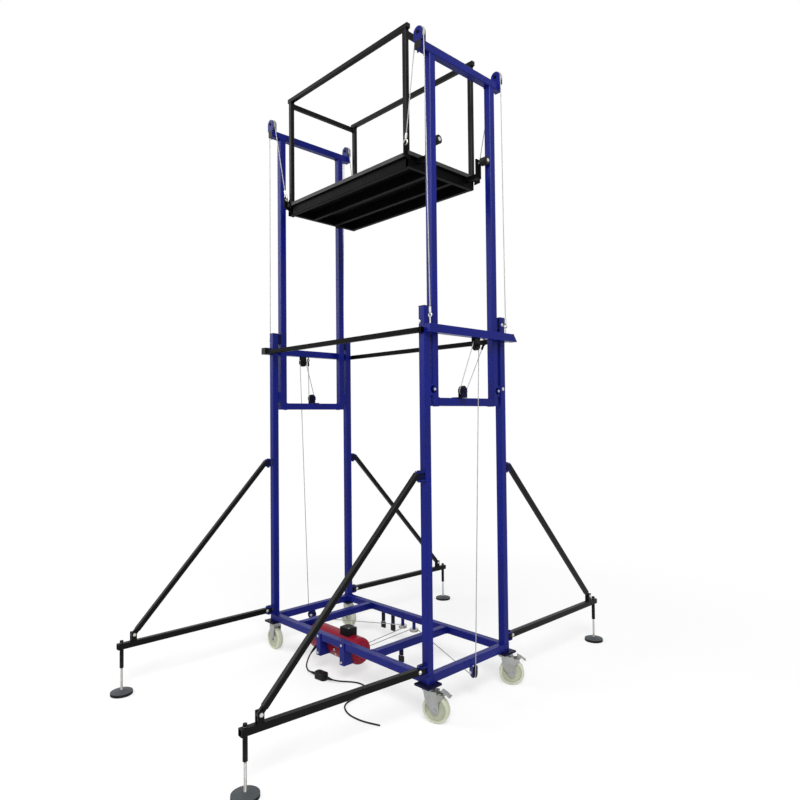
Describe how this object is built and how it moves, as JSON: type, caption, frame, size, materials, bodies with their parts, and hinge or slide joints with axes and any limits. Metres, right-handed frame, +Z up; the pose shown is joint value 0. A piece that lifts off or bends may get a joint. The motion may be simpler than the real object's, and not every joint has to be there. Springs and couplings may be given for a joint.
{
  "type": "cargo lift",
  "caption": "Mobile two-mast cargo lift: a railed platform hung on wire ropes between telescoping masts, driven by a winch in a wheeled base with swinging outriggers.",
  "frame": {"origin": "on the floor, midway between the four posts", "axes": "+X from the left portal to the right one, -Y towards the front, +Z up"},
  "size_m": [1.4845, 2.5239, 3.384],
  "materials": {
    "blue_paint": "semi-gloss paint",
    "black_paint": "semi-gloss paint",
    "zinc": "zinc plate",
    "bright_rope": "laid wire",
    "cream_nylon": "cast nylon",
    "black_nylon": "moulded",
    "red_paint": "gloss paint on cast aluminium",
    "film_board": "black film-faced board",
    "black_rubber": "matt",
    "green_button": "moulded",
    "red_button": "moulded"
  },
  "bodies": {
    "base": {"base_frame": "blue_paint", "right_lower_frame": "blue_paint", "left_lower_frame": "blue_paint", "tie_bars": "black_paint", "nylon_pads_and_caps": "black_nylon", "outrigger_hinges": "black_paint", "sheave_brackets": "black_paint", "bolts_and_anchors": "zinc", "stop_feet": "black_paint", "winch_brackets": "blue_paint", "winch_motor": "red_paint", "winch_gearbox": "red_paint", "terminal_box": "black_nylon", "lift_ropes": "bright_rope", "lift_rope_falls": "bright_rope", "platform_rope_falls": "bright_rope", "hand_control": "black_nylon", "control_cord": "black_rubber", "supply_cord": "black_rubber", "caster_fork_front_left": "zinc", "caster_fork_back_left": "zinc"},
    "drum": {"winch_drum": "zinc", "drum_rope": "bright_rope"},
    "right_turning": {"right_turning_sheave": "zinc"},
    "left_turning": {"left_turning_sheave": "zinc"},
    "right_foot_sheave": {"right_base_sheave": "black_nylon"},
    "left_foot_sheave": {"left_base_sheave": "black_nylon"},
    "right_block": {"right_block_sheave": "black_nylon"},
    "left_block": {"left_block_sheave": "black_nylon"},
    "right_mast": {"right_mast": "blue_paint"},
    "left_mast": {"left_mast": "blue_paint"},
    "right_head": {"right_head_sheaves": "zinc"},
    "left_head": {"left_head_sheaves": "zinc"},
    "right_mast_block": {"right_mast_sheave": "black_nylon"},
    "left_mast_block": {"left_mast_sheave": "black_nylon"},
    "platform": {"platform_frame": "black_paint", "deck": "film_board", "guard_rail": "black_paint", "platform_rope_drops": "bright_rope"},
    "front_rollers": {"front_guide_rollers": "black_nylon"},
    "back_rollers": {"back_guide_rollers": "black_nylon"},
    "up_button": {"up_button": "green_button"},
    "down_button": {"down_button": "red_button"},
    "wheel_front_right": {"caster_wheel_front_right": "cream_nylon"},
    "fork_front_right": {"caster_fork_front_right": "zinc"},
    "pedal_front_right": {"brake_pedal_front_right": "zinc"},
    "wheel_back_right": {"caster_wheel_back_right": "cream_nylon"},
    "fork_back_right": {"caster_fork_back_right": "zinc"},
    "pedal_back_right": {"brake_pedal_back_right": "zinc"},
    "wheel_front_left": {"caster_wheel_front_left": "cream_nylon"},
    "wheel_back_left": {"caster_wheel_back_left": "cream_nylon"},
    "arm_front_right": {"outrigger_front_right": "black_paint"},
    "foot_front_right": {"jack_front_right": "zinc"},
    "arm_back_right": {"outrigger_back_right": "black_paint"},
    "foot_back_right": {"jack_back_right": "zinc"},
    "arm_front_left": {"outrigger_front_left": "black_paint"},
    "foot_front_left": {"jack_front_left": "zinc"},
    "arm_back_left": {"outrigger_back_left": "black_paint"},
    "foot_back_left": {"jack_back_left": "zinc"}
  },
  "joints": [
    {"name": "right_mast_lift", "type": "slide", "parent": "base", "child": "right_mast", "axis": [0, 0, 1], "range_m": [-1.18, 0], "deforming": ["lift_rope_falls", "platform_rope_falls"]},
    {"name": "left_mast_lift", "type": "slide", "parent": "base", "child": "left_mast", "axis": [0, 0, 1], "range_m": [-1.18, 0]},
    {"name": "platform_lift", "type": "slide", "parent": "right_mast", "child": "platform", "axis": [0, 0, 1], "range_m": [-1.18, 0], "deforming": ["platform_rope_drops"]},
    {"name": "drum_spin", "type": "hinge", "parent": "base", "child": "drum", "pos_m": [-0.027, -0.192, 0.138], "axis": [1, 0, 0], "continuous": true},
    {"name": "right_turning_spin", "type": "hinge", "parent": "base", "child": "right_turning", "pos_m": [-0.033, 0.3, 0.118], "axis": [0, 0, 1], "continuous": true},
    {"name": "left_turning_spin", "type": "hinge", "parent": "base", "child": "left_turning", "pos_m": [-0.132, 0.3, 0.118], "axis": [0, 0, 1], "continuous": true},
    {"name": "right_foot_spin", "type": "hinge", "parent": "base", "child": "right_foot_sheave", "pos_m": [0.66634, 0.02302, 0.14049], "axis": [-0.3966, -0.9174, 0.0322], "continuous": true},
    {"name": "left_foot_spin", "type": "hinge", "parent": "base", "child": "left_foot_sheave", "pos_m": [-0.66781, -0.00234, 0.14049], "axis": [-0.5218, 0.8525, 0.0299], "continuous": true},
    {"name": "right_block_spin", "type": "hinge", "parent": "base", "child": "right_block", "pos_m": [0.687, 0.049, 1.778], "axis": [1, 0, 0], "continuous": true},
    {"name": "left_block_spin", "type": "hinge", "parent": "base", "child": "left_block", "pos_m": [-0.687, -0.049, 1.778], "axis": [1, 0, 0], "continuous": true},
    {"name": "right_mast_block_spin", "type": "hinge", "parent": "right_mast", "child": "right_mast_block", "pos_m": [0.687, -0.0575, 1.544], "axis": [1, 0, 0], "continuous": true},
    {"name": "left_mast_block_spin", "type": "hinge", "parent": "left_mast", "child": "left_mast_block", "pos_m": [-0.687, 0.02, 1.544], "axis": [1, 0, 0], "continuous": true},
    {"name": "right_head_spin", "type": "hinge", "parent": "right_mast", "child": "right_head", "pos_m": [0.6495, 0, 3.257], "axis": [0, 1, 0], "continuous": true},
    {"name": "left_head_spin", "type": "hinge", "parent": "left_mast", "child": "left_head", "pos_m": [-0.6495, 0, 3.257], "axis": [0, 1, 0], "continuous": true},
    {"name": "front_roller_spin", "type": "hinge", "parent": "platform", "child": "front_rollers", "pos_m": [0, -0.1877, 2.77], "axis": [1, 0, 0], "continuous": true},
    {"name": "back_roller_spin", "type": "hinge", "parent": "platform", "child": "back_rollers", "pos_m": [0, 0.1877, 2.77], "axis": [1, 0, 0], "continuous": true},
    {"name": "up_button_press", "type": "slide", "parent": "base", "child": "up_button", "axis": [0, 0, 1], "range_m": [-0.0025, 0], "stiffness_N_per_m": 400},
    {"name": "down_button_press", "type": "slide", "parent": "base", "child": "down_button", "axis": [0, 0, 1], "range_m": [-0.0025, 0], "stiffness_N_per_m": 400},
    {"name": "swivel_front_right", "type": "hinge", "parent": "base", "child": "fork_front_right", "pos_m": [0.6525, -0.29, 0.165], "axis": [0, 0, 1], "continuous": true},
    {"name": "roll_front_right", "type": "hinge", "parent": "fork_front_right", "child": "wheel_front_right", "pos_m": [0.68959, -0.27502, 0.065], "axis": [-0.3746, 0.9272, 0], "continuous": true},
    {"name": "brake_front_right", "type": "hinge", "parent": "fork_front_right", "child": "pedal_front_right", "pos_m": [0.72036, -0.26258, 0.1317], "axis": [-0.3746, 0.9272, 0], "range_deg": [0, 20]},
    {"name": "swivel_back_right", "type": "hinge", "parent": "base", "child": "fork_back_right", "pos_m": [0.6525, 0.29, 0.165], "axis": [0, 0, 1], "continuous": true},
    {"name": "roll_back_right", "type": "hinge", "parent": "fork_back_right", "child": "wheel_back_right", "pos_m": [0.68314, 0.31571, 0.065], "axis": [-0.6428, 0.766, 0], "continuous": true},
    {"name": "brake_back_right", "type": "hinge", "parent": "fork_back_right", "child": "pedal_back_right", "pos_m": [0.70857, 0.33705, 0.1317], "axis": [-0.6428, 0.766, 0], "range_deg": [0, 20]},
    {"name": "roll_front_left", "type": "hinge", "parent": "base", "child": "wheel_front_left", "pos_m": [-0.6525, -0.29, 0.065], "axis": [0, 1, 0], "continuous": true},
    {"name": "roll_back_left", "type": "hinge", "parent": "base", "child": "wheel_back_left", "pos_m": [-0.6525, 0.29, 0.065], "axis": [0, 1, 0], "continuous": true},
    {"name": "swing_front_right", "type": "hinge", "parent": "base", "child": "arm_front_right", "pos_m": [0.6525, -0.335, 0.245], "axis": [0, 0, 1], "range_deg": [-35, 85]},
    {"name": "jack_front_right", "type": "slide", "parent": "arm_front_right", "child": "foot_front_right", "axis": [0, 0, 1], "range_m": [0, 0.09]},
    {"name": "swing_back_right", "type": "hinge", "parent": "base", "child": "arm_back_right", "pos_m": [0.6525, 0.335, 0.245], "axis": [0, 0, 1], "range_deg": [-85, 35]},
    {"name": "jack_back_right", "type": "slide", "parent": "arm_back_right", "child": "foot_back_right", "axis": [0, 0, 1], "range_m": [0, 0.09]},
    {"name": "swing_front_left", "type": "hinge", "parent": "base", "child": "arm_front_left", "pos_m": [-0.6525, -0.335, 0.245], "axis": [0, 0, 1], "range_deg": [-85, 35]},
    {"name": "jack_front_left", "type": "slide", "parent": "arm_front_left", "child": "foot_front_left", "axis": [0, 0, 1], "range_m": [0, 0.09]},
    {"name": "swing_back_left", "type": "hinge", "parent": "base", "child": "arm_back_left", "pos_m": [-0.6525, 0.335, 0.245], "axis": [0, 0, 1], "range_deg": [-35, 85]},
    {"name": "jack_back_left", "type": "slide", "parent": "arm_back_left", "child": "foot_back_left", "axis": [0, 0, 1], "range_m": [0, 0.09]}
  ],
  "couplings": [
    {"joint": "left_mast_lift", "follows": "right_mast_lift", "ratio": 1},
    {"joint": "platform_lift", "follows": "right_mast_lift", "ratio": 1},
    {"joint": "drum_spin", "follows": "right_mast_lift", "rad_per_m": -100},
    {"joint": "right_turning_spin", "follows": "right_mast_lift", "rad_per_m": 88.889},
    {"joint": "left_turning_spin", "follows": "right_mast_lift", "rad_per_m": -88.889},
    {"joint": "right_foot_spin", "follows": "right_mast_lift", "rad_per_m": -88.889},
    {"joint": "left_foot_spin", "follows": "right_mast_lift", "rad_per_m": -88.889},
    {"joint": "right_block_spin", "follows": "right_mast_lift", "rad_per_m": -88.889},
    {"joint": "left_block_spin", "follows": "right_mast_lift", "rad_per_m": 88.889},
    {"joint": "right_mast_block_spin", "follows": "right_mast_lift", "rad_per_m": -44.444},
    {"joint": "left_mast_block_spin", "follows": "right_mast_lift", "rad_per_m": 44.444},
    {"joint": "right_head_spin", "follows": "right_mast_lift", "rad_per_m": 37.037},
    {"joint": "left_head_spin", "follows": "right_mast_lift", "rad_per_m": -37.037},
    {"joint": "front_roller_spin", "follows": "right_mast_lift", "rad_per_m": 45.455},
    {"joint": "back_roller_spin", "follows": "right_mast_lift", "rad_per_m": -45.455}
  ]
}
